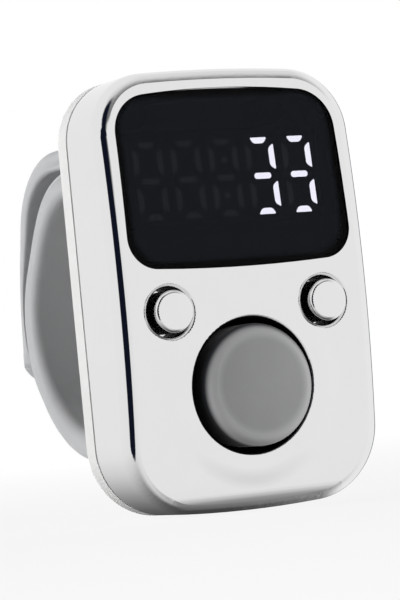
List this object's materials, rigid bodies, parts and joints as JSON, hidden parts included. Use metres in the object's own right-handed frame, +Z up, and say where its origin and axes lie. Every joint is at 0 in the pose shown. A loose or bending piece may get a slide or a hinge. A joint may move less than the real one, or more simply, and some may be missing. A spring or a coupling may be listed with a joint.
{
  "type": "digital tasbih counter",
  "caption": "Finger-worn digital prayer counter: rounded chrome front with a smoked lit display, thumb button and side buttons, white rear cover, silicone arms that overlap into a finger loop.",
  "frame": {"origin": "on the axis of the finger in the loop, level with the middle of the case", "axes": "+X along the finger, +Z up the face towards the display, the face towards -Y"},
  "size_m": [0.0256, 0.0321, 0.0394],
  "materials": {
    "chrome_shell": "polished chrome plating on plastic",
    "chrome_keys": "polished chrome plating on plastic",
    "smoked_lens": "smoked clear acrylic, polished",
    "black_tape": "black adhesive foam",
    "lit_diffuser": "white light diffuser, lit",
    "dark_diffuser": "tinted diffuser, unlit",
    "black_plastic": "moulded black plastic",
    "thumb_grey": "satin grey soft-touch plastic",
    "ivory_plastic": "moulded nylon",
    "nickel_strip": "nickel-plated spring strip",
    "green_board": "solder mask on glass epoxy",
    "ceramic": "sintered ceramic",
    "cell_steel": "pressed steel can",
    "white_plastic": "moulded white plastic, satin gloss",
    "screw_steel": "plain steel",
    "grey_silicone": "matte grey silicone"
  },
  "bodies": {
    "case": {"front_bezel": "chrome_shell", "display_lens": "smoked_lens", "lens_tape": "black_tape", "lit_segments": "lit_diffuser", "dark_segments": "dark_diffuser", "led_housing": "black_plastic", "count_switch": "black_plastic", "reset_switch": "black_plastic", "light_switch": "black_plastic", "switch_legs": "nickel_strip", "circuit_board": "green_board", "controller_chip": "black_plastic", "chip_components": "ceramic", "coin_cell": "cell_steel", "negative_contact": "nickel_strip", "positive_contact": "nickel_strip", "rear_cover": "white_plastic", "battery_door": "white_plastic", "battery_door_screw": "screw_steel", "case_screws": "screw_steel", "board_screws": "screw_steel", "upper_strap_pin": "screw_steel", "lower_strap_pin": "screw_steel"},
    "count_key": {"count_button": "thumb_grey", "count_plunger": "ivory_plastic"},
    "reset_key": {"reset_button": "chrome_keys", "reset_plunger": "ivory_plastic"},
    "light_key": {"light_button": "chrome_keys", "light_plunger": "ivory_plastic"},
    "upper_arm": {"upper_strap": "grey_silicone"},
    "lower_arm": {"lower_strap": "grey_silicone"}
  },
  "joints": [
    {"name": "count_press", "type": "slide", "parent": "case", "child": "count_key", "axis": [0, 1, 0], "range_m": [0, 0.0005], "stiffness_N_per_m": 2400},
    {"name": "reset_press", "type": "slide", "parent": "case", "child": "reset_key", "axis": [0, 1, 0], "range_m": [0, 0.00035], "stiffness_N_per_m": 3000},
    {"name": "light_press", "type": "slide", "parent": "case", "child": "light_key", "axis": [0, 1, 0], "range_m": [0, 0.00035], "stiffness_N_per_m": 3000},
    {"name": "upper_arm_swing", "type": "hinge", "parent": "case", "child": "upper_arm", "pos_m": [0, -0.0068, 0.01328], "axis": [1, 0, 0], "range_deg": [0, 40], "stiffness_Nm_per_rad": 0.03},
    {"name": "lower_arm_swing", "type": "hinge", "parent": "case", "child": "lower_arm", "pos_m": [0, -0.0068, -0.01232], "axis": [1, 0, 0], "range_deg": [-24, 0], "stiffness_Nm_per_rad": 0.03}
  ],
  "couplings": [
    {"joint": "lower_arm_swing", "follows": "upper_arm_swing", "ratio": -0.6}
  ]
}
